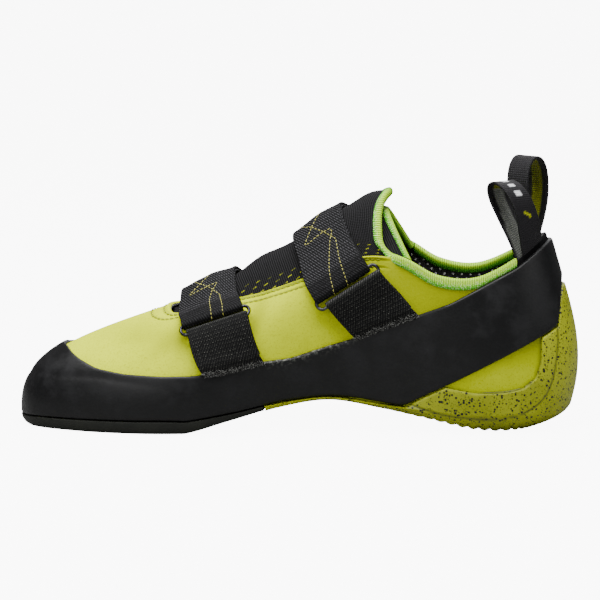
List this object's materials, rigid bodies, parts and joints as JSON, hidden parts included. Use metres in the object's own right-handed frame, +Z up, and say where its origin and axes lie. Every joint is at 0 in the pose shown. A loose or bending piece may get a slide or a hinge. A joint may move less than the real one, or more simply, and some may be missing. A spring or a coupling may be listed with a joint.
{
  "type": "climbing shoe",
  "caption": "Low climbing shoe with rubber soles, a rubber rand, an elastic gusset, webbing straps through wire rings and heel pull loops.",
  "frame": {"origin": "bottom centre of the shoe's box, on the floor", "axes": "-X towards the toe, +X towards the heel, +Z up, -Y towards the inner side of the foot"},
  "size_m": [0.2664, 0.0936, 0.1271],
  "materials": {
    "upper_microfibre": "suede-like microfibre, matt",
    "lining_fabric": "soft lining",
    "black_outsole": "matt climbing rubber",
    "yellow_rubber": "matt speckled rubber",
    "black_rubber": "matt rubber",
    "black_elastic": "ribbed elastic with yellow flecks",
    "green_binding": "ribbed edge tape",
    "strap_webbing": "herringbone webbing",
    "ring_steel": "dark wire",
    "loop_webbing": "flat webbing"
  },
  "bodies": {
    "root": {"upper": "upper_microfibre", "insole": "lining_fabric", "forefoot_sole": "black_outsole", "heel_rubber": "yellow_rubber", "rand": "black_rubber", "tongue": "black_elastic", "inner_tongue": "black_elastic", "collar_binding_inner": "green_binding", "collar_binding_outer": "green_binding", "tongue_binding": "green_binding", "inner_tongue_binding": "green_binding", "strap_front": "strap_webbing", "strap_rear": "strap_webbing", "anchor_front": "strap_webbing", "anchor_rear": "strap_webbing", "ring_front": "ring_steel", "ring_rear": "ring_steel", "pull_loop_inner": "loop_webbing", "pull_loop_outer": "loop_webbing"}
  },
  "joints": []
}
